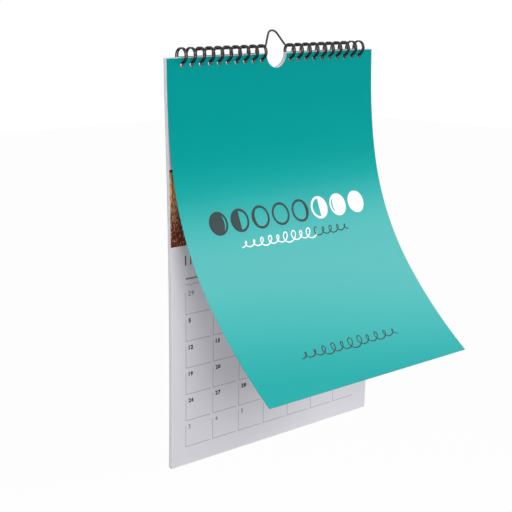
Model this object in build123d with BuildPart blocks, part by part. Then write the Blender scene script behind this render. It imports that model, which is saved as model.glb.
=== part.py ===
from build123d import *
from math import atan2, cos, degrees, hypot, pi, radians, sin, sqrt
import os

os.makedirs("parts", exist_ok=True)

# Wall calendar: sheets on two twin-loop wires, hung from a bent wire hanger.
# Origin: the point inside the hanger's raised middle where a hook or nail carries it.
# X runs along the top edge, the sheets face -Y and Z is up. All sizes are in millimetres.

# Sheets
sheet_width = 210.0
page_height = 297.0
pages_thickness = 2.4        # the month sheets, lying together
board_thickness = 0.8
cover_thickness = 0.35
cover_gap = 0.1              # between the cover's back and the first month sheet

# Bends: all sheets are flat under the binding and then lean forward. From there the month
# sheets and the board bow back to the wall, and the cover bends on forward in three arcs.
# Lengths are measured along the sheet, and turns are in degrees.
flat_length = 8.0
lean_length = 22.0
lean_turn = 1.6
bow_turn = 3.55              # over the rest of the month sheets' height
upper_length = 50.0
upper_turn = 8.0
middle_length = 98.5
middle_turn = 28.7
lower_length = 81.0
lower_turn = 13.5

# Punched edge
loop_pitch = 8.467           # three loops to the inch
middle_gap = 29.3            # between the two loops beside the thumb notch
end_margin = 10.0            # least distance from the outermost loop to the sheet's side
hole_width = 4.0
hole_height = 3.7
edge_strip = 2.5             # paper between a sheet's top edge and its holes
notch_radius = 10.3

# Twin-loop binding wires
wire_diameter = 1.15
ring_radius = 5.1            # to the middle of the wire
strand_spacing = 1.7         # between the two strands of one loop
ring_behind = 0.8            # from the front of the month sheets back to the rings' centre
hang_gap = 0.15              # between a hole's upper edge and the strands in it
seam_start = -17.0           # where the connecting wires run: degrees above the rings' back
seam_end = -34.0             # where the closed tips of the loops end, below them
wire_sides = 6               # the wire's section and rings are drawn with flat sides
ring_chords = 12

# Hanger
hanger_diameter = 1.5
hanger_length = 155.0
hanger_lean = 19.6           # degrees that the raised middle leans back to the wall
leg_spread = 10.45           # from the middle to each leg, at the arms
leg_meeting = 17.45          # height above the arms where the two legs' lines would meet
apex_radius = 5.5
elbow_radius = 2.0
seat_gap = 0.15              # between the arms and the rings they lie in

# The hanger's arms lie below the origin, and the rings hang on them
leg_slope = atan2(leg_spread, leg_meeting)
apex_height = leg_meeting - apex_radius / sin(leg_slope) + apex_radius
hook_height = apex_height - hanger_diameter / 2
lean = radians(hanger_lean)
arm_y = -hook_height * sin(lean)
arm_z = -hook_height * cos(lean)
ring_inside = ring_radius - wire_diameter / 2
ring_y = arm_y
ring_z = arm_z - (ring_inside - hanger_diameter / 2 - seat_gap)

# Depths of the sheets, from the front backwards
pages_front = ring_y - ring_behind
pages_back = pages_front + pages_thickness
board_back = pages_back + board_thickness
cover_back = pages_front - cover_gap
cover_front = cover_back - cover_thickness


def hung_top(depth):
    """Height of a sheet's top edge when its holes rest on the rings at this depth."""
    wire_top = ring_z - sqrt(ring_inside**2 - (depth - ring_y) ** 2)
    return wire_top + hang_gap + edge_strip


cover_top = hung_top(cover_front)
pages_top = hung_top(pages_front)
pages_rise = hung_top(pages_back) - pages_top
board_top = hung_top(board_back)

# The sheets' bends start at one height, so that the sheets lie close together
flat_bottom = pages_top - flat_length
lean_radius = lean_length / radians(lean_turn)
bow_radius = (page_height - flat_length - lean_length) / radians(bow_turn)

# Middles of the loops along the top edge: as many as the sheet has room for
loops_per_side = 1 + int((sheet_width / 2 - middle_gap / 2 - end_margin) / loop_pitch)
right_loops = [middle_gap / 2 + i * loop_pitch for i in range(loops_per_side)]
left_loops = [-x for x in reversed(right_loops)]
hole_drop = edge_strip + hole_height / 2


def facing_front(depth):
    """Plane at this depth that faces the front, with X to the right and Z up."""
    return Plane(origin=(0, depth, 0), x_dir=(1, 0, 0), z_dir=(0, -1, 0))


def punching(depth, top):
    """Holes and thumb notch of a sheet whose top edge is at this height."""
    with BuildSketch(facing_front(depth)) as cut:
        with Locations((0, top)):
            Circle(notch_radius)
        with Locations([(x, top - hole_drop) for x in left_loops + right_loops]):
            Rectangle(hole_width, hole_height)
    return cut.sketch


def block_side(depth, top):
    """A face of the month sheets or the board seen from the side, from its top edge down."""
    flat = Line((depth, top), (depth, flat_bottom))
    lean = JernArc(flat @ 1, flat % 1, lean_radius, -lean_turn)
    bow_length = page_height - (top - flat_bottom) - lean_length
    bow = JernArc(lean @ 1, lean % 1, bow_radius, degrees(bow_length / bow_radius))
    return [flat, lean, bow]


def block_profile(front, front_top, back, back_top):
    """Month sheets or board seen from the side, between these depths and top edges."""
    with BuildSketch(Plane.YZ) as profile:
        with BuildLine():
            front_edges = block_side(front, front_top)
            back_edges = block_side(back, back_top)
            Line(front_edges[0] @ 0, back_edges[0] @ 0)
            Line(front_edges[-1] @ 1, back_edges[-1] @ 1)
        make_face()
    return profile.sketch


# Month sheets: each one hangs a little higher than the sheet in front of it,
# because the rings curve up behind it, so the block's edges slope up to the back
page_slope = pages_rise / pages_thickness
punch_depth = 2 * pages_thickness
punch_start = (punch_depth - pages_thickness) / 2    # how far ahead of the block it starts
with BuildPart() as month_pages:
    side = block_profile(pages_front, pages_top, pages_back, pages_top + pages_rise)
    extrude(side, amount=sheet_width / 2, both=True)
    punches = punching(pages_front - punch_start, pages_top - punch_start * page_slope)
    extrude(
        punches,
        amount=hypot(punch_depth, punch_depth * page_slope),
        dir=(0, 1, page_slope),
        mode=Mode.SUBTRACT,
    )
month_pages.part.label = "month_pages"

# Back board: a card behind the month sheets, bowed like them
with BuildPart() as back_board:
    extrude(block_profile(pages_back, board_top, board_back, board_top),
            amount=sheet_width / 2, both=True)
    punches = punching(pages_back - board_thickness, board_top)
    extrude(punches, amount=-3 * board_thickness, mode=Mode.SUBTRACT)
back_board.part.label = "back_board"


def cover_side(behind):
    """One face of the cover seen from the side, this far behind its front face."""
    y = cover_front + behind
    edges = [Line((y, cover_top), (y, flat_bottom))]
    for length, turn in (
        (lean_length, lean_turn),
        (upper_length, upper_turn),
        (middle_length, middle_turn),
        (lower_length, lower_turn),
    ):
        radius = length / radians(turn) + behind
        edges.append(JernArc(edges[-1] @ 1, edges[-1] % 1, radius, -turn))
    return edges


# Front cover: one bent sheet, punched where it lies flat under the binding
with BuildPart() as front_cover:
    with BuildSketch(Plane.YZ) as cover_profile:
        with BuildLine():
            front_edges = cover_side(0)
            back_edges = cover_side(cover_thickness)
            Line(front_edges[0] @ 0, back_edges[0] @ 0)
            Line(front_edges[-1] @ 1, back_edges[-1] @ 1)
        make_face()
    extrude(amount=sheet_width / 2, both=True)
    punches = punching(cover_front - cover_thickness, cover_top)
    extrude(punches, amount=-3 * cover_thickness, mode=Mode.SUBTRACT)
front_cover.part.label = "front_cover"

# Binding wires: each is one wire bent into doubled loops. A flat-sided section has
# the area of the round wire, and a ring's straight chords lie evenly about its radius
section_radius = wire_diameter / 2 * sqrt(2 * pi / (wire_sides * sin(2 * pi / wire_sides)))
full_turn = 360
ring_sweep = full_turn + seam_end - seam_start
chord_turn = ring_sweep / ring_chords
corner_radius = ring_radius * 2 / (1 + cos(radians(chord_turn / 2)))


def ring_plane(x, turn):
    """Plane across a strand, this many degrees round the ring from its back."""
    y, z = cos(radians(turn)), sin(radians(turn))
    centre = (x, ring_y + corner_radius * y, ring_z + corner_radius * z)
    return Plane(origin=centre, x_dir=(0, y, z), z_dir=(0, -z, y))


def wire_section():
    """Section of the binding wire with its flats facing in and out of the ring."""
    RegularPolygon(section_radius, wire_sides, rotation=180 / wire_sides)


def cross_wire(turn, start, length):
    """Straight piece of wire along X, this many degrees round the rings."""
    across = ring_plane(start, turn)
    with BuildSketch(Plane(origin=across.origin, x_dir=across.x_dir, z_dir=(1, 0, 0))) as end:
        wire_section()
    extrude(end.sketch, amount=length)


with BuildPart() as loop:
    for x in (-strand_spacing / 2, strand_spacing / 2):
        for i in range(ring_chords + 1):
            with BuildSketch(ring_plane(x, seam_start + i * chord_turn)):
                wire_section()
        loft(ruled=True)
    tip_length = strand_spacing + wire_diameter
    cross_wire(seam_start + ring_sweep, -tip_length / 2, tip_length)

# Connecting wire from one loop to the next one on its right
with BuildPart() as link:
    link_length = loop_pitch - strand_spacing + wire_diameter
    cross_wire(seam_start, (loop_pitch - link_length) / 2, link_length)

with BuildPart() as binding_wire_left:
    with Locations([(x, 0, 0) for x in left_loops]):
        add(loop.part)
    with Locations([(x, 0, 0) for x in left_loops[:-1]]):
        add(link.part)
binding_wire_left.part.label = "binding_wire_left"

with BuildPart() as binding_wire_right:
    with Locations((right_loops[0] - left_loops[0], 0, 0)):
        add(binding_wire_left.part)
binding_wire_right.part.label = "binding_wire_right"

# Hanger: one bent wire, its raised middle leaning back from the straight arms
lean_plane = Plane(origin=(0, arm_y, arm_z), x_dir=(1, 0, 0), z_dir=(0, -cos(lean), sin(lean)))
with BuildPart() as hanger:
    with BuildLine(lean_plane) as hanger_line:
        Polyline(
            (-hanger_length / 2, 0),
            (-leg_spread, 0),
            (0, leg_meeting),
            (leg_spread, 0),
            (hanger_length / 2, 0),
        )
        corners = hanger_line.vertices().sort_by(Axis.X)
        fillet(corners[2], apex_radius)
        corners = hanger_line.vertices().sort_by(Axis.X)
        fillet([corners[1], corners[-2]], elbow_radius)
    with BuildSketch(Plane(origin=hanger_line.line @ 0, z_dir=hanger_line.line % 0)):
        Circle(hanger_diameter / 2)
    sweep()
hanger.part.label = "hanger"

export_step(front_cover.part, "parts/front_cover.step")
export_step(month_pages.part, "parts/month_pages.step")
export_step(back_board.part, "parts/back_board.step")
export_step(binding_wire_left.part, "parts/binding_wire_left.step")
export_step(binding_wire_right.part, "parts/binding_wire_right.step")
export_step(hanger.part, "parts/hanger.step")
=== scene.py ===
"""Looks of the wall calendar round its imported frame: sheets, print, wires, light and camera."""

import logging
import math
import random
from dataclasses import dataclass
from enum import Enum
from typing import Callable, Iterable, Sequence

import bmesh
import bpy
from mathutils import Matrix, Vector
from mathutils.geometry import tessellate_polygon


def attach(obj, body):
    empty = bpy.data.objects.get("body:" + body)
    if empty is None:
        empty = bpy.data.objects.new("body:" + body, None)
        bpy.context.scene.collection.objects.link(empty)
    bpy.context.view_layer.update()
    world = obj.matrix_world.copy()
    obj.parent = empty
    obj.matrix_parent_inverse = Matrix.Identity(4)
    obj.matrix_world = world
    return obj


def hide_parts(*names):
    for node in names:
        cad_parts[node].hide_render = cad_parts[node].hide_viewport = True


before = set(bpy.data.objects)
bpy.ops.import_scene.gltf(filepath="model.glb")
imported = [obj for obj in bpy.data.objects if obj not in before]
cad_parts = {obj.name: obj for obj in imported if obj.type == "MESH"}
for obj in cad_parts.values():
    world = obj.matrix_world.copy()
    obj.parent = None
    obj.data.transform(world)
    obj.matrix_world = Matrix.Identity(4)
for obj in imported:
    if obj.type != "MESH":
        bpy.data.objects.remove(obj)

log = logging.getLogger("wall_calendar")

MM = 0.001
SHEET_UV = "Sheet"
SHEET_WIDTH = 210.0
PAGE_HEIGHT = 297.0
# In flat drawings, points this close are joined and cuts this close to a point go through it
MERGE_DISTANCE = 0.001
ROW_SNAP = 0.01

Point = tuple[float, float]
Place = tuple[float, float, float]
Colour = tuple[float, float, float]
Box = tuple[float, float, float, float]
Inputs = dict[int | str, object]

# Left, top, width and height of a month sheet, down from its top edge
FULL_SHEET: Box = (-SHEET_WIDTH / 2, 0.0, SHEET_WIDTH, PAGE_HEIGHT)
WHITE: Colour = (1.0, 1.0, 1.0)


def paint(red: int, green: int, blue: int) -> Colour:
    """Linear colour of an 8-bit display colour.

    Args:
        red: Red channel, 0 to 255.
        green: Green channel, 0 to 255.
        blue: Blue channel, 0 to 255.

    Returns:
        The colour as shaders take it.
    """

    def channel(value: int) -> float:
        """Linear value of one channel."""
        share = value / 255
        return share / 12.92 if share <= 0.04045 else ((share + 0.055) / 1.055) ** 2.4

    return channel(red), channel(green), channel(blue)


def placed(name: str, data: bpy.types.ID) -> bpy.types.Object:
    """Puts a new object into the scene.

    Args:
        name: Its name.
        data: Its mesh, curve, lamp or camera data.

    Returns:
        The object.
    """
    made = bpy.data.objects.new(name, data)
    bpy.context.scene.collection.objects.link(made)
    return made


class Body(str, Enum):
    """Bodies of the frame that the new pieces ride on."""

    CALENDAR = "calendar"
    COVER = "front_cover"


class Slot(str, Enum):
    """Material slots of the record."""

    COVER = "cover_paper"
    PAGES = "page_paper"
    BOARD = "board_card"
    BINDING = "binding_wire"


# Shader maths


class Sock:
    """A node's output with arithmetic: an expression on values adds its Math nodes."""

    def __init__(self, graph: "Graph", link: bpy.types.NodeSocket) -> None:
        """Wraps an output.

        Args:
            graph: The graph that the node is in.
            link: The output.
        """
        self.graph = graph
        self.link = link

    def maths(self, operation: str, *values: "Sock | float") -> "Sock":
        """Result of a Math node with these values."""
        return self.graph.node("Math", {"operation": operation}, dict(enumerate(values)))

    def __add__(self, other: "Sock | float") -> "Sock":
        """Sum."""
        return self.maths("ADD", self, other)

    __radd__ = __add__

    def __sub__(self, other: "Sock | float") -> "Sock":
        """Difference."""
        return self.maths("SUBTRACT", self, other)

    def __rsub__(self, other: float) -> "Sock":
        """Difference from a number."""
        return self.maths("SUBTRACT", other, self)

    def __mul__(self, other: "Sock | float") -> "Sock":
        """Product."""
        return self.maths("MULTIPLY", self, other)

    __rmul__ = __mul__

    def ramp(self, low: float, high: float) -> "Sock":
        """Smooth step between two values.

        Args:
            low: Value at which the step is 0.
            high: Value at which it is 1; it may be the smaller of the two.

        Returns:
            The step, 0 to 1.
        """
        settings = {"interpolation_type": "SMOOTHSTEP"}
        if low <= high:
            return self.graph.node("MapRange", settings, {0: self, 1: low, 2: high})
        return 1 - self.graph.node("MapRange", settings, {0: self, 1: high, 2: low})


class Graph:
    """Node tree of one material or of the world."""

    def __init__(self, tree: bpy.types.NodeTree) -> None:
        """Empties the tree, ready for new nodes."""
        self.tree = tree
        tree.nodes.clear()

    def node(
        self,
        kind: str,
        settings: dict[str, object] | None = None,
        inputs: Inputs | None = None,
        out: int | str = 0,
    ) -> Sock:
        """Adds a node.

        Args:
            kind: Node type without its ShaderNode prefix.
            settings: Attributes that are set first; "stops" and "blend" are a ramp's own.
            inputs: Values or links of the sockets, by number or name.
            out: Number or name of the output to return.

        Returns:
            The node's output.
        """
        made = self.tree.nodes.new("ShaderNode" + kind)
        for name, value in (settings or {}).items():
            if name == "stops":
                self._set_stops(made.color_ramp, value)
            elif name == "blend":
                made.color_ramp.interpolation = value
            else:
                setattr(made, name, value)
        for name, value in (inputs or {}).items():
            if isinstance(value, Sock):
                self.tree.links.new(value.link, made.inputs[name])
            elif isinstance(value, tuple) and len(value) == 3 and made.inputs[name].type == "RGBA":
                made.inputs[name].default_value = (*value, 1.0)
            else:
                made.inputs[name].default_value = value
        return Sock(self, made.outputs[out] if len(made.outputs) else None)

    @staticmethod
    def _set_stops(ramp: bpy.types.ColorRamp, stops: Sequence[tuple[float, Colour]]) -> None:
        """Gives a colour ramp its stops.

        Args:
            ramp: The ramp.
            stops: Places from 0 to 1 with their colours.
        """
        while len(ramp.elements) > 1:
            ramp.elements.remove(ramp.elements[-1])
        for i, (place, colour) in enumerate(stops):
            stop = ramp.elements[0] if i == 0 else ramp.elements.new(place)
            stop.position = place
            stop.color = (*colour, 1.0)

    def mix(self, share: Sock | float, first: Sock | Colour, second: Sock | Colour) -> Sock:
        """Colour between two: share 0 gives the first and 1 the second."""
        return self.node("Mix", {"data_type": "RGBA"}, {0: share, 6: first, 7: second}, out=2)

    def scaled(self, colour: Sock | Colour, by: Sock) -> Sock:
        """A colour made darker or lighter by a factor."""
        return self.node("VectorMath", {"operation": "SCALE"}, {0: colour, "Scale": by})

    def place(self) -> Sock:
        """Position on the piece at rest, in metres."""
        return self.node("TexCoord", out="Object")

    def sheet_place(self) -> tuple[Sock, Sock]:
        """Place on a sheet's UV map.

        Returns:
            Shares across from its left side and up from its lower edge.
        """
        both = self.node("UVMap", {"uv_map": SHEET_UV})
        across = self.node("SeparateXYZ", None, {0: both})
        return across, Sock(self, across.link.node.outputs[1])

    def noise(self, vector: Sock, scale: float, detail: float = 2.0) -> Sock:
        """Noise from 0 to 1; the scale is in features per metre where places are in metres."""
        return self.node("TexNoise", None, {"Vector": vector, "Scale": scale, "Detail": detail})

    def stretched(self, vector: Sock, by: Place) -> Sock:
        """A place scaled by its own factor along each axis."""
        return self.node("VectorMath", {"operation": "MULTIPLY"}, {0: vector, 1: by})

    def bump(self, height: Sock, depth: float, strength: float) -> Sock:
        """Normal of a surface with this relief; depth in metres."""
        relief = {"Height": height, "Distance": depth, "Strength": strength}
        return self.node("Bump", None, relief)


# Finishes


@dataclass(frozen=True)
class Finish:
    """A finish of one Principled shader, whose inputs each kind of finish gives."""

    name: str

    def material(self) -> bpy.types.Material:
        """Builds the finish.

        Returns:
            A new material.
        """
        made = bpy.data.materials.new(self.name)
        made.use_nodes = True
        graph = Graph(made.node_tree)
        shader = graph.node("BsdfPrincipled", None, self.inputs(graph))
        graph.node("OutputMaterial", None, {"Surface": shader})
        return made

    def inputs(self, graph: Graph) -> Inputs:
        """Adds the nodes of the finish.

        Args:
            graph: The material's graph.

        Returns:
            Values or links of the shader's sockets.
        """
        raise NotImplementedError(f"{self.name} has no inputs of its own")


@dataclass(frozen=True)
class PaperFinish(Finish):
    """Matt paper or card with fine fibres and a faint uneven tone."""

    colour: Colour
    roughness: float = 0.8
    roughness_range: float = 0.08
    specular: float = 0.25
    fibre_scale: float = 1400.0
    fibre_depth: float = 0.00002
    fibre_strength: float = 0.25
    cloud_scale: float = 22.0
    unevenness: float = 0.03
    specks: float = 0.0
    speck_range: Point = (0.56, 0.74)

    def inputs(self, graph: Graph) -> Inputs:
        """Adds the nodes of the paper.

        Args:
            graph: The material's graph.

        Returns:
            Values or links of the shader's sockets.
        """
        place = graph.place()
        fibres = graph.noise(place, self.fibre_scale, 4.0)
        cloud = graph.noise(place, self.cloud_scale)
        tone = 1 - self.unevenness * (1 - cloud)
        if self.specks:
            tone = tone - self.specks * fibres.ramp(*self.speck_range)
        return {
            "Base Color": graph.scaled(self.colour, tone),
            "Roughness": self.roughness + self.roughness_range * (fibres - 0.5),
            "Specular IOR Level": self.specular,
            "Normal": graph.bump(fibres, self.fibre_depth, self.fibre_strength),
        }


@dataclass(frozen=True)
class CoverFinish(Finish):
    """Satin teal print with painted sheen and shade: the colour stops lighten the teal over
    the middle of the sheet, where its bend turns it up towards the light, and darken it
    again towards the lower edge.

    The stops are places down the sheet with their colours. From slant_from on they lie
    lower at the right than at the left, and from slant_full on by all of slant, both as
    shares of the sheet's length, so that the painted sheen lies lower on the right.
    """

    tints: tuple[tuple[float, Colour], ...]
    slant: float = 0.15
    slant_from: float = 0.5
    slant_full: float = 0.75
    cloud_scale: float = 14.0
    unevenness: float = 0.03
    roughness: float = 0.45
    roughness_range: float = 0.05
    specular: float = 0.04

    def inputs(self, graph: Graph) -> Inputs:
        """Adds the nodes of the printed face and its painted sheen.

        Args:
            graph: The material's graph.

        Returns:
            Values or links of the shader's sockets.
        """
        cloud = graph.noise(graph.place(), self.cloud_scale)
        across, up = graph.sheet_place()
        down = 1 - up
        fading = down.ramp(self.slant_from, self.slant_full)
        down = down + self.slant * fading * (0.5 - across)
        # The stops paint the sheen and shade of the bend into the teal, sloped across by the slant
        sheen_tint = graph.node("ValToRGB", {"stops": self.tints, "blend": "CARDINAL"}, {0: down})
        tone = 1 - self.unevenness / 2 + self.unevenness * cloud
        return {
            "Base Color": graph.scaled(sheen_tint, tone),
            "Roughness": self.roughness + self.roughness_range * (cloud - 0.5),
            "Specular IOR Level": self.specular,
        }


@dataclass(frozen=True)
class InkFinish(Finish):
    """Printing ink, slightly uneven in density."""

    colour: Colour
    density_scale: float = 900.0
    unevenness: float = 0.12
    roughness: float = 0.55
    roughness_range: float = 0.06
    specular: float = 0.2

    def inputs(self, graph: Graph) -> Inputs:
        """Adds the nodes of the ink.

        Args:
            graph: The material's graph.

        Returns:
            Values or links of the shader's sockets.
        """
        density = graph.noise(graph.place(), self.density_scale, 3.0)
        tone = 1 - self.unevenness / 2 + self.unevenness * density
        return {
            "Base Color": graph.scaled(self.colour, tone),
            "Roughness": self.roughness + self.roughness_range * (density - 0.5),
            "Specular IOR Level": self.specular,
        }


@dataclass(frozen=True)
class MeadowFinish(Finish):
    """Printed picture: a meadow of dry grass under a pale sky, with a hedge between.

    Heights and distances are in mm. A grain is a noise's features per mm across and down,
    and a range is the noise's values between which one colour gives way to another.
    """

    sky: Colour
    high_sky: Colour
    hedge: Colour
    green: Colour
    straw: Colour
    earth: Colour
    rust: Colour
    shade: Colour
    glint: Colour
    width: float
    height: float
    hedge_down: float
    hedge_height: float
    green_height: float
    green_stray: float = 2.0
    near_down: Point = (12.0, 46.0)
    near_stray: float = 14.0
    swell_height: float = 3.0
    swell_grain: Point = (0.05, 0.0)
    tuft_grain: Point = (0.25, 0.1)
    blade_grain: Point = (0.62, 0.2)
    seed_grain: Point = (0.75, 0.42)
    far_blades: Point = (0.38, 0.56)
    near_blades: Point = (0.42, 0.6)
    green_blades: Point = (0.4, 0.75)
    dark_seeds: Point = (0.5, 0.38)
    bright_seeds: Point = (0.54, 0.66)
    dark_tufts: Point = (0.5, 0.3)
    seed_shade: float = 0.3
    tuft_shade: float = 0.6
    skyline: Point = (-0.3, 0.2)
    roughness: float = 0.5
    roughness_range: float = 0.05
    specular: float = 0.2

    def inputs(self, graph: Graph) -> Inputs:
        """Adds the nodes of the picture.

        Args:
            graph: The material's graph.

        Returns:
            Values or links of the shader's sockets.
        """
        across, up = graph.sheet_place()
        x = across * self.width
        down = (1 - up) * self.height
        flat = graph.node("CombineXYZ", None, {0: x, 1: down})

        def grown(grain: Point, detail: float = 3.0) -> Sock:
            """Noise of this grain over the picture."""
            return graph.noise(graph.stretched(flat, (*grain, 1.0)), 1.0, detail)

        swell = grown(self.swell_grain) - 0.5
        tufts = grown(self.tuft_grain)
        blades = grown(self.blade_grain)
        seeds = grown(self.seed_grain, 2.0)

        # Distance under the horizon, which rises and falls a little
        under = down - self.hedge_down - self.swell_height * swell
        sky = graph.mix(down.ramp(self.hedge_down, 0.0), self.sky, self.high_sky)

        # Far grass is straw over earth, and near grass is rust with glints over shade
        far = graph.mix(blades.ramp(*self.far_blades), self.earth, self.straw)
        far = graph.mix(self.seed_shade * seeds.ramp(*self.dark_seeds), far, self.shade)
        near = graph.mix(blades.ramp(*self.near_blades), self.shade, self.rust)
        near = graph.mix(seeds.ramp(*self.bright_seeds), near, self.glint)
        near = graph.mix(self.tuft_shade * tufts.ramp(*self.dark_tufts), near, self.shade)
        nearness = (under + self.near_stray * (tufts - 0.5)).ramp(*self.near_down)
        field = graph.mix(nearness, far, near)

        # A green strip along the hedge, and over it the hedge and the sky
        strip_end = under + self.green_stray * (tufts - 0.5)
        strip_end = strip_end.ramp(self.green_height * 0.6, self.green_height * 1.4)
        strip = graph.mix(blades.ramp(*self.green_blades), self.green, self.straw)
        field = graph.mix(strip_end, strip, field)
        hedge_end = under.ramp(self.hedge_height * 0.8, self.hedge_height * 1.3)
        land = graph.mix(hedge_end, self.hedge, field)
        return {
            "Base Color": graph.mix(under.ramp(*self.skyline), sky, land),
            "Roughness": self.roughness + self.roughness_range * seeds,
            "Specular IOR Level": self.specular,
        }


@dataclass(frozen=True)
class WireFinish(Finish):
    """Round wire with a smooth dark coating, rubbed a little lighter in places."""

    colour: Colour
    rubbed: Colour
    roughness: float = 0.3
    roughness_range: float = 0.1
    specular: float = 0.3
    rubbing: float = 0.6
    wear_range: Point = (0.5, 0.75)
    wear_scale: float = 260.0
    grain_scale: float = 2600.0
    grain_depth: float = 0.00001
    grain_strength: float = 0.1

    def inputs(self, graph: Graph) -> Inputs:
        """Adds the nodes of the coating.

        Args:
            graph: The material's graph.

        Returns:
            Values or links of the shader's sockets.
        """
        place = graph.place()
        wear = graph.noise(place, self.wear_scale, 3.0)
        grain = graph.noise(place, self.grain_scale)
        worn = self.rubbing * wear.ramp(*self.wear_range)
        return {
            "Base Color": graph.mix(worn, self.colour, self.rubbed),
            "Roughness": self.roughness + self.roughness_range * (wear - 0.5),
            "Specular IOR Level": self.specular,
            "Normal": graph.bump(grain, self.grain_depth, self.grain_strength),
        }


# Shape of the sheets


@dataclass(frozen=True)
class Bend:
    """Part of a sheet that turns evenly: its length in mm, and degrees to the front."""

    length: float
    turn: float


@dataclass(frozen=True)
class SheetForm:
    """A sheet's front face seen from the side, in mm: upright at the top, then bent."""

    depth: float
    top: float
    flat: float
    bends: tuple[Bend, ...]

    def station(self, down: float) -> tuple[float, float, float]:
        """Place on the face this far from the top edge.

        Args:
            down: Distance along the sheet.

        Returns:
            Y, Z and the angle to the front, in radians.
        """
        y, z, angle = self.depth, self.top, 0.0
        left = down
        z -= min(left, self.flat)
        left -= self.flat
        for i, bend in enumerate(self.bends):
            if left <= 0:
                break
            last = i == len(self.bends) - 1
            run = left if last else min(left, bend.length)
            curve = math.radians(bend.turn) / bend.length
            turned = angle + curve * run
            y += (math.cos(turned) - math.cos(angle)) / curve
            z -= (math.sin(turned) - math.sin(angle)) / curve
            angle = turned
            left -= run
        return y, z, angle

    def point(self, x: float, down: float, proud: float) -> Vector:
        """Point on the sheet or beside it.

        Args:
            x: Distance across from the middle, in mm.
            down: Distance along the sheet from its top edge, in mm.
            proud: Distance in front of the face, in mm.

        Returns:
            The point in metres.
        """
        y, z, angle = self.station(down)
        return Vector((x, y - proud * math.cos(angle), z + proud * math.sin(angle))) * MM


@dataclass(frozen=True)
class FlatMesh:
    """Faces drawn flat on a sheet: points are across and down from the top edge, in mm."""

    points: list[Point]
    faces: list[tuple[int, ...]]


def filled(loops: Sequence[Sequence[Point]]) -> FlatMesh:
    """Fills an outline.

    Args:
        loops: The outline, and then any holes.

    Returns:
        The outline as triangles.
    """
    points = [p for loop in loops for p in loop]
    corners = tessellate_polygon([[Vector((x, y, 0)) for x, y in loop] for loop in loops])
    return FlatMesh(points, [tuple(c) for c in corners])


def joined(parts: Iterable[FlatMesh]) -> FlatMesh:
    """Puts flat meshes together.

    Args:
        parts: The meshes.

    Returns:
        All of them as one.
    """
    points: list[Point] = []
    faces: list[tuple[int, ...]] = []
    for part in parts:
        start = len(points)
        points.extend(part.points)
        faces.extend(tuple(start + i for i in face) for face in part.faces)
    return FlatMesh(points, faces)


def merged_and_cut(flat: FlatMesh, rows: Sequence[float]) -> FlatMesh:
    """Joins points that coincide and cuts the faces along rows, so that they can bend.

    Args:
        flat: The faces.
        rows: Distances down from the top edge at which they are cut.

    Returns:
        The cut faces, all wound one way.
    """
    bm = bmesh.new()
    made = [bm.verts.new((x, -down, 0.0)) for x, down in flat.points]
    for face in flat.faces:
        bm.faces.new([made[i] for i in face])
    bmesh.ops.remove_doubles(bm, verts=bm.verts[:], dist=MERGE_DISTANCE)
    # Turns the edges of faces that the filling left without area
    bmesh.ops.beautify_fill(bm, faces=bm.faces[:], edges=bm.edges[:])
    low = min(v.co.y for v in bm.verts)
    high = max(v.co.y for v in bm.verts)
    for row in rows:
        if low < -row < high:
            bmesh.ops.bisect_plane(
                bm,
                geom=bm.verts[:] + bm.edges[:] + bm.faces[:],
                dist=ROW_SNAP,
                plane_co=(0, -row, 0),
                plane_no=(0, 1, 0),
            )
    for face in bm.faces:
        face.normal_update()
        if face.normal.z < 0:
            face.normal_flip()
    bm.verts.index_update()
    result = FlatMesh(
        [(v.co.x, -v.co.y) for v in bm.verts],
        [tuple(v.index for v in f.verts) for f in bm.faces],
    )
    bm.free()
    return result


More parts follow.
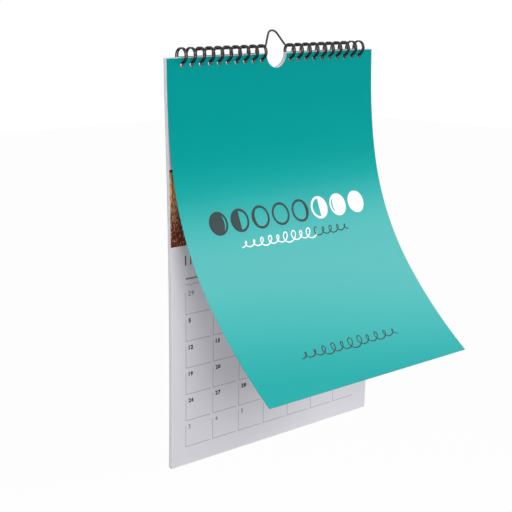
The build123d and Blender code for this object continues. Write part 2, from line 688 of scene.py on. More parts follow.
class Solid:
    """Mesh data that is put together from several closed shells."""

    def __init__(self) -> None:
        """Starts empty."""
        self.points: list[Vector] = []
        self.faces: list[tuple[int, ...]] = []
        self.uvs: list[list[Point]] = []
        self.slots: list[int] = []

    def add_sheet(
        self,
        flat: FlatMesh,
        form: SheetForm,
        proud: float,
        thickness: float,
        slots: tuple[int, int, int] = (0, 0, 0),
        shaded: Callable[[Point], bool] | None = None,
        shift: Point = (0.0, 0.0),
        box: Box = FULL_SHEET,
    ) -> None:
        """Adds a sheet with this outline, bent to a form.

        Args:
            flat: Its face, drawn flat.
            form: The form that it follows.
            proud: How far its front lies in front of the form, in mm.
            thickness: Its thickness in mm.
            slots: Material numbers of the front, the back and the sides.
            shaded: Tells which points of the outline have sides of material number 1, the painted
                shade inside the holes.
            shift: Movement across and down in mm.
            box: Left, top, width and height that the UV map covers, in mm.
        """
        start, count = len(self.points), len(flat.points)
        left, top, width, height = box
        places = [(x + shift[0], down + shift[1]) for x, down in flat.points]
        self.points += [form.point(x, down, proud) for x, down in places]
        self.points += [form.point(x, down, proud - thickness) for x, down in places]
        uv = [((x - left) / width, 1 - (down - top) / height) for x, down in places]

        # The rim is made of the edges that no second face runs back along
        rim: dict[tuple[int, int], None] = {}
        for face in flat.faces:
            self._face([start + i for i in face], [uv[i] for i in face], slots[0])
            back = tuple(reversed(face))
            self._face([start + count + i for i in back], [uv[i] for i in back], slots[1])
            for a, b in zip(face, face[1:] + face[:1]):
                if (b, a) in rim:
                    del rim[b, a]
                else:
                    rim[a, b] = None
        for a, b in rim:
            ring = [start + b, start + a, start + count + a, start + count + b]
            # Sides at these points take material number 1, dark paper that paints the shade inside
            # the holes
            dark = shaded is not None and (shaded(flat.points[a]) or shaded(flat.points[b]))
            self._face(ring, [uv[b], uv[a], uv[a], uv[b]], 1 if dark else slots[2])

    def _face(self, corners: Sequence[int], uv: list[Point], slot: int) -> None:
        """Adds one face.

        Args:
            corners: Numbers of its points.
            uv: Their places on the UV map.
            slot: Its material number.
        """
        self.faces.append(tuple(corners))
        self.uvs.append(uv)
        self.slots.append(slot)

    def add_wire(
        self, line: Sequence[Vector], outwards: Sequence[Vector], radius: float, sides: int
    ) -> None:
        """Adds a round wire along a line.

        Args:
            line: Points of its middle, in metres.
            outwards: A direction square to the line at each point.
            radius: Its radius in metres.
            sides: Number of sides of its section.
        """
        start = len(self.points)
        last = len(line) - 1
        for i, (middle, out) in enumerate(zip(line, outwards)):
            along = (line[min(i + 1, last)] - line[max(i - 1, 0)]).normalized()
            side = along.cross(out).normalized()
            out = side.cross(along).normalized()
            for k in range(sides):
                turn = 2 * math.pi * k / sides
                self.points.append(middle + radius * (math.cos(turn) * out + math.sin(turn) * side))
        for i in range(last):
            for k in range(sides):
                a, b = start + i * sides + k, start + i * sides + (k + 1) % sides
                ring = [a, b, b + sides, a + sides]
                v, w = i / last, (i + 1) / last
                u, t = k / sides, (k + 1) / sides
                self._face(ring, [(u, v), (t, v), (t, w), (u, w)], 0)
        first_end = [start + k for k in reversed(range(sides))]
        last_end = [start + last * sides + k for k in range(sides)]
        for ring in (first_end, last_end):
            self._face(ring, [(0.5, 0.5)] * sides, 0)

    def piece(
        self,
        name: str,
        materials: Sequence[bpy.types.Material],
        body: Body,
        stands_for: str | None = None,
        sharp: float = 35.0,
    ) -> None:
        """Makes the object and joins it to the frame.

        Args:
            name: Name of the piece.
            materials: Its materials, in the order of the faces' numbers.
            body: Body that it rides on.
            stands_for: CAD node that it replaces.
            sharp: Edges that turn by more degrees stay sharp.
        """
        mesh = bpy.data.meshes.new(name)
        mesh.from_pydata(self.points, [], self.faces)
        layer = mesh.uv_layers.new(name=SHEET_UV)
        layer.data.foreach_set("uv", [c for face in self.uvs for point in face for c in point])
        mesh.polygons.foreach_set("material_index", self.slots)
        mesh.polygons.foreach_set("use_smooth", [True] * len(self.faces))
        for material in materials:
            mesh.materials.append(material)
        mesh.set_sharp_from_angle(angle=math.radians(sharp))
        mesh.validate()
        mesh.update()
        made = placed(name, mesh)
        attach(made, body.value)
        if stands_for:
            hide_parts(stands_for)
        log.info("%s: %d points, %d faces", name, len(self.points), len(self.faces))


# Sheets and binding


@dataclass(frozen=True)
class Binding:
    """Twin loops and the punched edge that they run through, in mm."""

    pitch: float = 8.467
    middle_gap: float = 29.3
    loops_per_side: int = 10
    wire_diameter: float = 1.15
    ring_radius: float = 5.1
    strand_spacing: float = 1.7
    ring_y: float = -3.856
    ring_z: float = -14.4538
    ring_behind: float = 0.8
    seam_start: float = -17.0
    seam_end: float = -34.0
    hang_gap: float = 0.15
    edge_strip: float = 2.5
    hole_width: float = 4.0
    hole_height: float = 3.7
    hole_corner: float = 1.2
    hole_slack: float = 0.1
    corner_steps: int = 3
    notch_radius: float = 10.3
    notch_steps: int = 28

    def loops(self) -> list[float]:
        """Middles of the right side's loops, from the notch outwards."""
        return [self.middle_gap / 2 + i * self.pitch for i in range(self.loops_per_side)]

    def in_hole(self, point: Point) -> bool:
        """Tells a hole's upper and side walls, which get painted shade, from the rest of a sheet's
        outline; its lower wall keeps the sheet's paper.

        Args:
            point: A point of the outline, drawn flat.

        Returns:
            Whether it is on those walls.
        """
        x, down = point
        high = self.edge_strip - self.hole_slack
        low = self.edge_strip + self.hole_height - self.hole_corner / 2
        return abs(x) > self.notch_radius and high < down < low

    def hung_top(self, depth: float) -> float:
        """Height at which a sheet hangs with its holes on the rings.

        Args:
            depth: The Y of its front.

        Returns:
            The Z of its top edge.
        """
        inside = self.ring_radius - self.wire_diameter / 2
        wire_top = self.ring_z - math.sqrt(inside**2 - (depth - self.ring_y) ** 2)
        return wire_top + self.hang_gap + self.edge_strip

    def band(self, width: float, below: float, columns: int) -> FlatMesh:
        """Top band of a sheet with its holes and thumb notch.

        Args:
            width: Width of the sheet.
            below: Height of the band.
            columns: Number of columns that the sheet has under it.

        Returns:
            The filled band.
        """
        half = width / 2
        turns = [math.pi * i / self.notch_steps for i in range(self.notch_steps + 1)]
        notch = [(self.notch_radius * math.cos(t), self.notch_radius * math.sin(t)) for t in turns]
        lower = [(-half + width * i / columns, below) for i in range(columns + 1)]
        outline = [(half, 0.0), *notch, (-half, 0.0), *lower]
        middles = [s * x for x in self.loops() for s in (-1, 1)]
        return filled([outline, *[self._hole(x) for x in middles]])

    def _hole(self, x: float) -> list[Point]:
        """Outline of one hole, with small round corners.

        Args:
            x: Its middle, across.

        Returns:
            The outline.
        """
        corner, steps = self.hole_corner, self.corner_steps
        middle = self.edge_strip + self.hole_height / 2
        across, down = self.hole_width / 2 - corner, self.hole_height / 2 - corner
        points = []
        for quarter, (sx, sy) in enumerate(((1, 1), (-1, 1), (-1, -1), (1, -1))):
            for i in range(steps + 1):
                turn = math.radians(90 * quarter + 90 * i / steps)
                points.append((x + sx * across + corner * math.cos(turn),
                               middle + sy * down + corner * math.sin(turn)))
        return points


@dataclass(frozen=True)
class Sheets:
    """Month sheets, back board and front cover, in mm.

    The rows are the distances down a sheet at which it is divided so that it can bend:
    the first one, and the step from each to the next.
    """

    binding: Binding
    width: float = SHEET_WIDTH
    page_height: float = PAGE_HEIGHT
    pages_thickness: float = 2.4
    board_thickness: float = 0.8
    cover_thickness: float = 0.35
    cover_gap: float = 0.1
    flat_length: float = 8.0
    lean: Bend = Bend(22.0, 1.6)
    bow_turn: float = -3.55
    cover_bends: tuple[Bend, ...] = (Bend(50.0, 8.0), Bend(98.5, 28.7), Bend(81.0, 13.5))
    month_count: int = 12
    sheet_gap: float = 0.03
    stray: float = 0.12
    stray_seed: int = 12
    band_height: float = 12.0
    columns: int = 10
    page_row: Point = (15.0, 8.0)
    cover_row: Point = (14.0, 2.5)

    @property
    def pages_front(self) -> float:
        """Y of the first month sheet's front."""
        return self.binding.ring_y - self.binding.ring_behind

    @property
    def flat_bottom(self) -> float:
        """Height at which all the sheets begin to bend."""
        return self.binding.hung_top(self.pages_front) - self.flat_length

    @property
    def bow(self) -> Bend:
        """Bend of the month sheets and the board below their lean."""
        return Bend(self.page_height - self.flat_length - self.lean.length, self.bow_turn)

    @property
    def cover_length(self) -> float:
        """Length of the cover along its front."""
        return self.cover_form().flat + self.lean.length + sum(b.length for b in self.cover_bends)

    def block_form(self, depth: float, top: float) -> SheetForm:
        """Form of a month sheet or board with its front at this depth."""
        return SheetForm(depth, top, top - self.flat_bottom, (self.lean, self.bow))

    def page_form(self) -> SheetForm:
        """Form of the first month sheet."""
        return self.block_form(self.pages_front, self.binding.hung_top(self.pages_front))

    def cover_form(self) -> SheetForm:
        """Form of the cover.

        Returns:
            The form of its front.
        """
        depth = self.pages_front - self.cover_gap - self.cover_thickness
        top = self.binding.hung_top(depth)
        return SheetForm(depth, top, top - self.flat_bottom, (self.lean, *self.cover_bends))

    def face(self, length: float, rows: Sequence[float]) -> FlatMesh:
        """Punched face of a sheet.

        Args:
            length: Its length from the top edge to the lower one.
            rows: Where it is divided so that it can bend.

        Returns:
            The face, drawn flat.
        """
        half, columns = self.width / 2, self.columns
        cuts = [self.band_height, *[r for r in rows if self.band_height < r < length], length]
        wide = columns + 1
        points = [(-half + self.width * i / columns, row) for row in cuts for i in range(wide)]
        faces = [
            (r * wide + c, r * wide + c + 1, (r + 1) * wide + c + 1, (r + 1) * wide + c)
            for r in range(len(cuts) - 1)
            for c in range(columns)
        ]
        band = self.binding.band(self.width, self.band_height, columns)
        return merged_and_cut(joined([band, FlatMesh(points, faces)]), [])

    @staticmethod
    def _rows(first: float, step: float, length: float) -> list[float]:
        """Evenly spaced distances down a sheet, up to its length."""
        return [first + step * i for i in range(math.ceil((length - first) / step))]

    def page_rows(self) -> list[float]:
        """Where a month sheet is divided so that it can bow."""
        return self._rows(*self.page_row, self.page_height)

    def cover_rows(self) -> list[float]:
        """Where the cover is divided so that it can bend."""
        return self._rows(*self.cover_row, self.cover_length)

    def build_pages(self, paper: PaperFinish, walls: PaperFinish) -> None:
        """Builds the block of month sheets.

        Args:
            paper: Finish of the sheets.
            walls: Dark finish that paints shade on the holes' upper and side walls.
        """
        drawn = self.face(self.page_height, self.page_rows())
        pitch = self.pages_thickness / self.month_count
        chance = random.Random(self.stray_seed)
        block = Solid()
        for i in range(self.month_count):
            depth = self.pages_front + i * pitch
            form = self.block_form(depth, self.binding.hung_top(depth))
            stray = (0.0, 0.0)
            if i > 0:
                stray = (chance.uniform(-self.stray, self.stray), chance.uniform(0, self.stray))
            block.add_sheet(
                drawn, form, 0.0, pitch - self.sheet_gap, shaded=self.binding.in_hole, shift=stray
            )
        block.piece(
            "month_sheets", [paper.material(), walls.material()],
            Body.CALENDAR, "month_pages",
        )

    def build_board(self, card: PaperFinish, walls: PaperFinish) -> None:
        """Builds the back board.

        Args:
            card: Finish of the board.
            walls: Dark finish that paints shade on the holes' upper and side walls.
        """
        depth = self.pages_front + self.pages_thickness
        top = self.binding.hung_top(depth + self.board_thickness)
        board = Solid()
        board.add_sheet(
            self.face(self.page_height, self.page_rows()),
            self.block_form(depth, top), 0.0, self.board_thickness, shaded=self.binding.in_hole,
        )
        board.piece(
            "back_card", [card.material(), walls.material()],
            Body.CALENDAR, "back_board",
        )

    def build_cover(self, printed: CoverFinish, inside: PaperFinish) -> None:
        """Builds the front cover.

        Args:
            printed: Finish of its front and edges: teal print with painted sheen and shade.
            inside: Finish of its back.
        """
        length = self.cover_length
        cover = Solid()
        cover.add_sheet(
            self.face(length, self.cover_rows()),
            self.cover_form(), 0.0, self.cover_thickness, slots=(0, 1, 0),
            box=(-self.width / 2, 0.0, self.width, length),
        )
        cover.piece(
            "cover_sheet", [printed.material(), inside.material()],
            Body.COVER, "front_cover",
        )


@dataclass(frozen=True)
class BindingWires:
    """The two wires, each bent into a row of doubled loops."""

    binding: Binding
    link_bend: float = 0.8
    step: float = 0.45
    arc_step: float = 20.0
    sides: int = 12

    def build(self, finish: WireFinish) -> None:
        """Builds both wires.

        Args:
            finish: Their coating.
        """
        coating = finish.material()
        right = self.binding.loops()
        for name, loops, node in (
            ("left_wire", [-x for x in reversed(right)], "binding_wire_left"),
            ("right_wire", right, "binding_wire_right"),
        ):
            line, outwards = self._wrapped(self._track(loops))
            wire = Solid()
            wire.add_wire(line, outwards, self.binding.wire_diameter / 2 * MM, self.sides)
            wire.piece(name, [coating], Body.CALENDAR, node, sharp=60.0)

    def _track(self, loops: Sequence[float]) -> list[Point]:
        """Way of a wire's middle, unrolled from the rings.

        Args:
            loops: Middles of its loops.

        Returns:
            Points across, and along a ring from where the connecting wires run.
        """
        b = self.binding
        full = math.radians(360 + b.seam_end - b.seam_start) * b.ring_radius
        half, bend = b.strand_spacing / 2, self.link_bend
        track: list[Point] = []
        for i, x in enumerate(loops):
            if i > 0:
                track += self._arc((x - half - bend, bend), bend, -90, 0)
            else:
                track.append((x - half, 0.0))
            track += self._run((x - half, bend), (x - half, full - half))
            track += self._arc((x, full - half), half, 180, 0)
            track += self._run((x + half, full - half), (x + half, bend))
            if i < len(loops) - 1:
                track += self._arc((x + half + bend, bend), bend, 180, 270)
            else:
                track.append((x + half, 0.0))
        return [
            p for i, p in enumerate(track)
            if i == 0 or math.dist(p, track[i - 1]) > MERGE_DISTANCE
        ]

    def _run(self, start: Point, end: Point) -> list[Point]:
        """Straight run of a wire.

        Args:
            start: Its first point.
            end: Its last point.

        Returns:
            Points from one to the other.
        """
        count = max(1, round(math.dist(start, end) / self.step))
        return [
            (start[0] + (end[0] - start[0]) * i / count, start[1] + (end[1] - start[1]) * i / count)
            for i in range(count + 1)
        ]

    def _arc(self, middle: Point, radius: float, start: float, end: float) -> list[Point]:
        """Bend of a wire.

        Args:
            middle: Middle of the arc.
            radius: Its radius.
            start: Angle of its first point, in degrees.
            end: Angle of its last point, in degrees.

        Returns:
            Points from one to the other.
        """
        count = round(abs(end - start) / self.arc_step)
        turns = [math.radians(start + (end - start) * i / count) for i in range(count + 1)]
        return [(middle[0] + radius * math.cos(t), middle[1] + radius * math.sin(t)) for t in turns]

    def _wrapped(self, track: Sequence[Point]) -> tuple[list[Vector], list[Vector]]:
        """Rolls a wire's way up round the rings.

        Args:
            track: Points across, and along a ring.

        Returns:
            Points in metres, and the outward direction at each.
        """
        b = self.binding
        line, outwards = [], []
        for x, along in track:
            turn = math.radians(b.seam_start) + along / b.ring_radius
            out = Vector((0.0, math.cos(turn), math.sin(turn)))
            line.append((Vector((x, b.ring_y, b.ring_z)) + b.ring_radius * out) * MM)
            outwards.append(out)
        return line, outwards


# Print


def ribbon(line: Sequence[Point], width: float) -> FlatMesh:
    """A drawn line of even width.

    Args:
        line: Its middle.
        width: Its width in mm.

    Returns:
        The line as faces.
    """
    points: list[Point] = []
    last = len(line) - 1
    for i, (x, down) in enumerate(line):
        ahead, behind = line[min(i + 1, last)], line[max(i - 1, 0)]
        run = Vector((ahead[0] - behind[0], ahead[1] - behind[1])).normalized()
        side = Vector((-run.y, run.x)) * width / 2
        points += [(x + side.x, down + side.y), (x - side.x, down - side.y)]
    return FlatMesh(points, [(2 * i, 2 * i + 2, 2 * i + 3, 2 * i + 1) for i in range(last)])


def panel(left: float, top: float, width: float, height: float) -> FlatMesh:
    """A plain rectangle."""
    right, low = left + width, top + height
    return FlatMesh([(left, top), (right, top), (right, low), (left, low)], [(0, 1, 2, 3)])


def digits(
    text: str, height: float, weight: float, narrow: float = 1.0, spacing: float = 1.0
) -> FlatMesh:
    """A number in the plain built-in type, its upper left corner at 0, 0.

    Args:
        text: The number.
        height: Height of its digits in mm.
        weight: How much its strokes are thickened, as a share of the type size.
        narrow: Width as a share of the normal one.
        spacing: Distance between digits as a share of the normal one.

    Returns:
        The digits as faces.
    """
    curve = bpy.data.curves.new("type", "FONT")
    curve.body = text
    curve.offset = weight
    curve.space_character = spacing
    # A thickened outline folds over itself where it's drawn finer
    curve.resolution_u = 2 if weight else 4
    holder = placed("type", curve)
    bpy.context.view_layer.update()
    shape = bpy.data.meshes.new_from_object(
        holder.evaluated_get(bpy.context.evaluated_depsgraph_get())
    )
    left = min(v.co.x for v in shape.vertices)
    low = min(v.co.y for v in shape.vertices)
    top = max(v.co.y for v in shape.vertices)
    scale = height / (top - low)
    points = [((v.co.x - left) * scale * narrow, (top - v.co.y) * scale) for v in shape.vertices]
    faces = [tuple(p.vertices) for p in shape.polygons]
    bpy.data.objects.remove(holder)
    bpy.data.curves.remove(curve)
    bpy.data.meshes.remove(shape)
    return FlatMesh(points, faces)


def moved(flat: FlatMesh, x: float, down: float) -> FlatMesh:
    """The same faces in another place."""
    return FlatMesh([(px + x, py + down) for px, py in flat.points], flat.faces)


@dataclass(frozen=True)
class Press:
    """Lays print on a sheet as a film of ink."""

    form: SheetForm
    rows: tuple[float, ...]
    body: Body
    slot: Slot
    proud: float = 0.04
    sunk: float = 0.03

    def lay(self, name: str, flat: FlatMesh, finish: Finish, box: Box = FULL_SHEET) -> None:
        """Prints the faces as one piece.

        Args:
            name: Name of the piece.
            flat: What is printed.
            finish: Its ink.
            box: Left, top, width and height that the UV map covers, in mm.
        """
        film = Solid()
        film.add_sheet(
            merged_and_cut(flat, self.rows), self.form, self.proud, self.proud + self.sunk, box=box
        )
        film.piece(name, [finish.material()], self.body)


@dataclass(frozen=True)
class MonthPrint:
    """Print of the first month sheet: picture, month number and day grid, in mm."""

    press: Press
    picture_top: float = 14.0
    left: float = -91.8
    weekdays: int = 7
    column_pitch: float = 26.2
    weeks: int = 6
    row_pitch: float = 20.13
    first_bottom: float = 182.4
    cell_width: float = 23.6
    cell_drop: float = 16.3
    line_width: float = 0.35
    header_down: float = 160.5
    dip_from: float = 4.0
    dip_depth: float = 1.2
    bar_down: float = 155.5
    bar_width: float = 11.5
    bar_height: float = 1.4
    month: int = 11
    month_left: float = -92.1
    month_down: float = 139.2
    month_height: float = 7.0
    month_narrow: float = 0.95
    number_in: float = 2.5
    number_drop: float = 16.8
    number_height: float = 3.35
    number_weight: float = 0.055
    number_narrow: float = 1.04
    number_spacing: float = 1.2
    previous_days: tuple[int, ...] = (29, 30, 31)
    month_days: int = 30

    def build(self, inks: dict[str, InkFinish], picture: MeadowFinish) -> None:
        """Builds all the print of the sheet.

        Args:
            inks: Inks by their names.
            picture: Finish of the picture.
        """
        box = (-picture.width / 2, self.picture_top, picture.width, picture.height)
        self.press.lay("page_picture", panel(*box), picture, box)
        self.press.lay("cell_lines", joined(self._cells()), inks["line"])
        self.press.lay("header_lines", joined(self._header()), inks["line"])
        month = digits(str(self.month), self.month_height, 0.0, self.month_narrow)
        month = moved(month, self.month_left, self.month_down)
        self.press.lay("month_number", month, inks["dark"])
        in_month, others = self._days()
        self.press.lay("day_numbers", joined(in_month), inks["dark"])
        self.press.lay("other_days", joined(others), inks["pale"])

    def _cell(self, number: int) -> Point:
        """Lower left corner of a day's cell, counted from the grid's first one."""
        row, column = divmod(number, self.weekdays)
        return self.left + column * self.column_pitch, self.first_bottom + row * self.row_pitch

    def _cells(self) -> list[FlatMesh]:
        """Lines at the left and bottom of each day's cell, with a mitred corner.

        Returns:
            The lines of each cell.
        """
        cells = []
        half = self.line_width / 2
        for number in range(self.weeks * self.weekdays):
            x, low = self._cell(number)
            top, end = low - self.cell_drop, x + self.cell_width
            points = [(x - half, top), (x + half, top), (x + half, low - half),
                      (x - half, low + half), (end, low - half), (end, low + half)]
            cells.append(FlatMesh(points, [(0, 1, 2, 3), (3, 2, 4, 5)]))
        return cells

    def _header(self) -> list[FlatMesh]:
        """A short bar and a line with a small dip over each column.

        Returns:
            The bars and lines.
        """
        parts = []
        y, dip = self.header_down, self.dip_depth
        for column in range(self.weekdays):
            x = self._cell(column)[0]
            parts.append(panel(x, self.bar_down, self.bar_width, self.bar_height))
            start = x + self.dip_from
            line = [(x, y), (start, y), (start + dip, y + dip), (start + 2 * dip, y),
                    (x + self.cell_width, y)]
            parts.append(ribbon(line, self.line_width))
        return parts

    def _days(self) -> tuple[list[FlatMesh], list[FlatMesh]]:
        """Numbers of the days.

        Returns:
            Those of the month, and those of the days before and after it.
        """
        in_month: list[FlatMesh] = []
        others: list[FlatMesh] = []
        before = len(self.previous_days)
        for number in range(self.weeks * self.weekdays):
            day = number - before + 1
            inside = 1 <= day <= self.month_days
            if day < 1:
                day = self.previous_days[number]
            elif not inside:
                day -= self.month_days
            weight = self.number_weight if inside else 0.0
            drawn = digits(
                str(day), self.number_height, weight, self.number_narrow, self.number_spacing
            )
            x, low = self._cell(number)
            drawn = moved(drawn, x + self.number_in, low - self.number_drop)
            (in_month if inside else others).append(drawn)
        return in_month, others


@dataclass(frozen=True)
class Curls:
    """A line of pen loops across the sheet, smaller towards its ends, in mm.

    The swing is a loop's half height in the middle, end_size the share of it at the ends,
    uneven the share by which it changes over every third loop, and lean how far a loop
    leans, as a share of its swing.
    """

    half_length: float
    down: float
    swing: float
    pitch: float
    end_size: float = 0.45
    uneven: float = 0.3
    uneven_loops: int = 3
    lean: float = 0.3
    steps: int = 22

    def line(self) -> list[Point]:
        """Draws the loops.

        Returns:
            Points of the pen's way.
        """
        length = 2 * self.half_length
        count = round(length / self.pitch) * self.steps
        line = []
        for i in range(count + 1):
            turn = 2 * math.pi * i / self.steps
            share = i / count
            change = 1 - self.uneven + self.uneven * math.cos(turn / self.uneven_loops)
            bulge = (1 - self.end_size) * math.sin(math.pi * share) * change
            size = self.swing * (self.end_size + bulge)
            swung = size * (math.sin(turn) - self.lean * math.cos(turn))
            across = length * share - self.half_length + swung
            line.append((across, self.down + size * math.cos(turn)))
        return line


@dataclass(frozen=True)
class CoverPrint:
    """Print of the cover: the eight phases of the moon over two lines of pen loops, in mm.

    Phase 0 is the new moon and phase 4 the full one. The upper line is white up to
    white_share of its points and dark after a gap.
    """

    press: Press
    moon_radius: float = 8.8
    moon_pitch: float = 20.6
    moon_down: float = 118.5
    moon_line: float = 1.9
    moon_steps: int = 48
    dark_moons: int = 5
    phases: tuple[int, ...] = (5, 6, 7, 0, 1, 2, 3, 4)
    upper: Curls = Curls(56.0, 136.5, 4.3, 8.2)
    lower: Curls = Curls(51.0, 228.3, 4.7, 9.4)
    white_share: float = 0.66
    pen_gap: int = 4
    white_width: float = 1.0
    dark_width: float = 0.9

    def build(self, inks: dict[str, InkFinish]) -> None:
        """Builds all the print of the cover.

        Args:
            inks: Inks by their names.
        """
        moons = [self._moon(i, phase) for i, phase in enumerate(self.phases)]
        self.press.lay("dark_moons", joined(moons[: self.dark_moons]), inks["graphite"])
        self.press.lay("white_moons", joined(moons[self.dark_moons :]), inks["white"])
        upper = self.upper.line()
        split = int(len(upper) * self.white_share)
        white = ribbon(upper[:split], self.white_width)
        dark = ribbon(upper[split + self.pen_gap :], self.dark_width)
        self.press.lay("white_curls", white, inks["white"])
        self.press.lay("dark_curls", dark, inks["graphite"])
        lower = ribbon(self.lower.line(), self.dark_width)
        self.press.lay("lower_curls", lower, inks["graphite"])

    def _moon(self, place: int, phase: int) -> FlatMesh:
        """One phase: a ring, with the lit part filled.

        Args:
            place: Its place in the row, from the left.
            phase: Its phase, 0 to 7.

        Returns:
            The ring and the filled part.
        """
        middle = (place - (len(self.phases) - 1) / 2) * self.moon_pitch
        down = self.moon_down

        def oval(wide: float, high: float, turns: Iterable[float]) -> list[Point]:
            """Points of an oval round the moon's middle."""
            return [(middle + wide * math.cos(t), down + high * math.sin(t)) for t in turns]

        outer, inner = self.moon_radius, self.moon_radius - self.moon_line
        full = len(self.phases) // 2
        round_turns = [2 * math.pi * i / self.moon_steps for i in range(self.moon_steps)]
        rim = oval(outer, outer, round_turns)
        if phase == full:
            return filled([rim])
        ring = filled([rim, oval(inner, inner, round_turns)])
        if phase == 0:
            return ring
        half_steps = self.moon_steps // 2
        limb = [-math.pi / 2 + math.pi * i / half_steps for i in range(half_steps + 1)]
        side = 1 if phase < full else -1
        high = (outer + inner) / 2
        lit = oval(side * high, high, limb)
        lit += oval(side * high * math.cos(math.pi * phase / full), high, reversed(limb[1:-1]))
        return joined([ring, filled([lit])])


# Light and camera


@dataclass(frozen=True)
class Lamp:
    """A soft rectangular lamp that faces a point."""

    name: str
    place: Place
    aim: Place
    width: float
    height: float
    radiance: float

    def build(self) -> None:
        """Makes the lamp; its power follows from its radiance and area."""
        light = bpy.data.lights.new(self.name, "AREA")
        light.shape = "RECTANGLE"
        light.size = self.width
        light.size_y = self.height
        light.energy = self.radiance * math.pi * self.width * self.height
        made = placed(self.name, light)
        made.location = self.place
        towards = Vector(self.aim) - Vector(self.place)
        made.rotation_euler = towards.to_track_quat("-Z", "Y").to_euler()
        made.visible_camera = False


@dataclass(frozen=True)
class Studio:
    """Pale floor, white surroundings, lamps and the camera."""

    lamps: tuple[Lamp, ...]
    sky: float = 0.08
    floor_height: float = -0.95
    floor_size: float = 14.0
    floor_colour: Colour = (0.9, 0.9, 0.9)
    floor_white: float = 0.98
    lens: float = 90.168
    sensor_width: float = 36.0
    clip: Point = (0.01, 50.0)
    camera_place: Place = (-0.66885, -0.69136, 0.02990)
    camera_yaw: float = 43.344
    camera_pitch: float = 11.720

    def build(self) -> None:
        """Builds everything round the calendar."""
        self._world()
        self._floor()
        for lamp in self.lamps:
            lamp.build()
        self._camera()
        bpy.context.scene.view_settings.view_transform = "Standard"

    @staticmethod
    def _seen(graph: Graph) -> Sock:
        """Finds the rays that show the surroundings.

        Args:
            graph: The graph that the nodes go in.

        Returns:
            1 for rays from the camera, in gloss or through glass, and else 0.
        """
        path = graph.node("LightPath").link.node.outputs
        camera = Sock(graph, path["Is Camera Ray"])
        glossy = Sock(graph, path["Is Glossy Ray"])
        through = Sock(graph, path["Is Transmission Ray"])
        return camera.maths("MAXIMUM", camera.maths("MAXIMUM", camera, glossy), through)

    def _world(self) -> None:
        """White to look at, and a plain soft light on the calendar."""
        world = bpy.data.worlds.new("surroundings")
        world.use_nodes = True
        graph = Graph(world.node_tree)
        strength = self.sky + (1.0 - self.sky) * self._seen(graph)
        light = graph.node("Background", None, {"Color": WHITE, "Strength": strength})
        graph.node("OutputWorld", None, {"Surface": light})
        bpy.context.scene.world = world

    def _floor(self) -> None:
        """A wide pale floor that looks white and keeps the shadow."""
        half = self.floor_size / 2
        mesh = bpy.data.meshes.new("floor")
        corners = [(-half, -half), (half, -half), (half, half), (-half, half)]
        mesh.from_pydata([(x, y, self.floor_height) for x, y in corners], [], [(0, 1, 2, 3)])
        material = bpy.data.materials.new("floor")
        material.use_nodes = True
        graph = Graph(material.node_tree)
        matt = graph.node("BsdfDiffuse", None, {"Color": self.floor_colour})
        white = graph.node("Emission", None, {"Color": WHITE, "Strength": 1.0})
        both = graph.node(
            "MixShader", None, {0: self.floor_white * self._seen(graph), 1: matt, 2: white}
        )
        graph.node("OutputMaterial", None, {"Surface": both})
        mesh.materials.append(material)
        floor = placed("floor", mesh)

    def _camera(self) -> None:
        """Camera that looks to the right and a little down, without a roll."""
        data = bpy.data.cameras.new("camera")
        data.lens = self.lens
        data.sensor_width = self.sensor_width
        data.clip_start, data.clip_end = self.clip
        camera = placed("camera", data)
        yaw, pitch = math.radians(self.camera_yaw), math.radians(self.camera_pitch)
        level = math.cos(pitch)
        ahead = Vector((math.sin(yaw) * level, math.cos(yaw) * level, -math.sin(pitch)))
        camera.location = self.camera_place
        camera.rotation_euler = ahead.to_track_quat("-Z", "Y").to_euler()
        bpy.context.scene.camera = camera


# The calendar

INKS = {
    "dark": InkFinish("black_ink", paint(22, 21, 25)),
    "pale": InkFinish("grey_ink", paint(74, 73, 80)),
    "line": InkFinish("line_ink", paint(146, 145, 152)),
    "graphite": InkFinish("graphite_ink", paint(44, 58, 60)),
    "white": InkFinish("white_ink", paint(246, 248, 248)),
}
PAGE_PAPER = PaperFinish("page_paper", paint(222, 221, 228))
# Dark paper on the holes' upper and side walls: painted shade of the wires and the punched block
PAINTED_HOLE_SHADE = PaperFinish("painted_hole_shade", paint(40, 40, 42), specular=0.0)
COVER_INSIDE = PaperFinish("cover_inside", paint(216, 216, 219), roughness=0.65)
BOARD_CARD = PaperFinish(
    "board_card", paint(204, 203, 206), roughness=0.85, fibre_scale=700.0, specks=0.08
)
# Teal of the print with painted sheen: lighter over the bend, darker again towards the lower edge
COVER_TEAL_SHEEN = CoverFinish(
    "cover_teal_sheen",
    (
        (0.0, paint(0, 144, 142)),
        (0.3, paint(6, 154, 151)),
        (0.39, paint(38, 167, 164)),
        (0.49, paint(77, 182, 180)),
        (0.6, paint(90, 185, 183)),
        (0.73, paint(80, 182, 180)),
        (0.86, paint(60, 174, 172)),
        (1.0, paint(38, 164, 162)),
    ),
)
MEADOW = MeadowFinish(
    name="meadow_print",
    sky=paint(212, 211, 216),
    high_sky=paint(176, 196, 210),
    hedge=paint(52, 46, 34),
    green=paint(132, 132, 62),
    straw=paint(248, 192, 140),
    earth=paint(150, 92, 58),
    rust=paint(124, 52, 34),
    shade=paint(62, 28, 22),
    glint=paint(206, 150, 116),
    width=SHEET_WIDTH,
    height=117.7,
    hedge_down=62.6,
    hedge_height=1.6,
    green_height=7.0,
)
BLACK_COATING = WireFinish("black_coating", paint(20, 20, 22), paint(40, 40, 42))
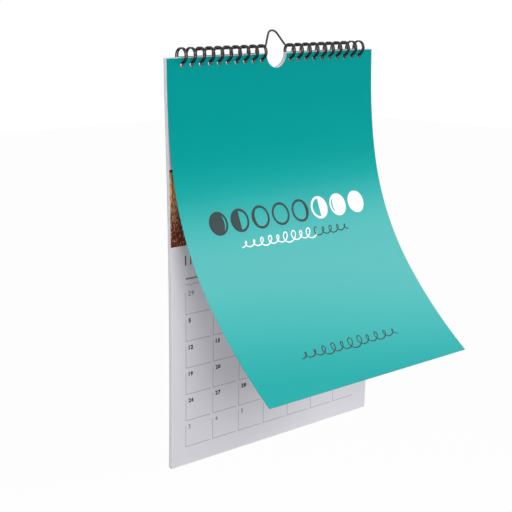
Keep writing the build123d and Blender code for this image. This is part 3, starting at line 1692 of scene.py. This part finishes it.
HANGER_COATING = WireFinish("hanger_coating", paint(16, 16, 18), paint(44, 44, 46))
CALENDAR_MIDDLE: Place = (0.0, 0.0, -0.15)
# Each lamp's place, the point that it faces, its width and height in metres, and its radiance
LAMPS = (
    Lamp("front_softbox", (-0.6, -1.75, 0.5), CALENDAR_MIDDLE, 1.1, 1.2, 5.2),
    Lamp("corner_softbox", (-1.3, -1.35, 0.45), CALENDAR_MIDDLE, 0.8, 1.2, 1.4),
    Lamp("left_softbox", (-1.6, 0.0, 0.4), CALENDAR_MIDDLE, 0.8, 1.2, 3.7),
    Lamp("top_softbox", (-0.2, 0.45, 1.2), (0.0, 0.0, 0.0), 0.6, 0.6, 5.5),
    Lamp("back_softbox", (0.5, 1.5, -0.2), (0.0, 0.0, -0.1), 0.8, 0.8, 4.5),
    Lamp("right_softbox", (1.12, -0.77, 0.7), CALENDAR_MIDDLE, 1.0, 0.8, 5.4),
)


def dress_hanger(finish: WireFinish) -> None:
    """Gives the CAD hanger its coating.

    Args:
        finish: The coating.
    """
    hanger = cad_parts["hanger"]
    coating = finish.material()
    if not hanger.data.materials:
        hanger.data.materials.append(coating)
    for i in range(len(hanger.data.materials)):
        hanger.data.materials[i] = coating
    log.info("hanger: coated")


def main() -> None:
    """Builds the calendar and the studio."""
    logging.basicConfig(level=logging.INFO, format="%(message)s")
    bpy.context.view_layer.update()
    binding = Binding()
    sheets = Sheets(binding)
    sheets.build_pages(PAGE_PAPER, PAINTED_HOLE_SHADE)
    sheets.build_board(BOARD_CARD, PAINTED_HOLE_SHADE)
    sheets.build_cover(COVER_TEAL_SHEEN, COVER_INSIDE)
    BindingWires(binding).build(BLACK_COATING)
    dress_hanger(HANGER_COATING)
    page_press = Press(sheets.page_form(), tuple(sheets.page_rows()), Body.CALENDAR, Slot.PAGES)
    MonthPrint(page_press).build(INKS, MEADOW)
    cover_press = Press(sheets.cover_form(), tuple(sheets.cover_rows()), Body.COVER, Slot.COVER)
    CoverPrint(cover_press).build(INKS)
    Studio(LAMPS).build()


if __name__ == "__main__":
    main()
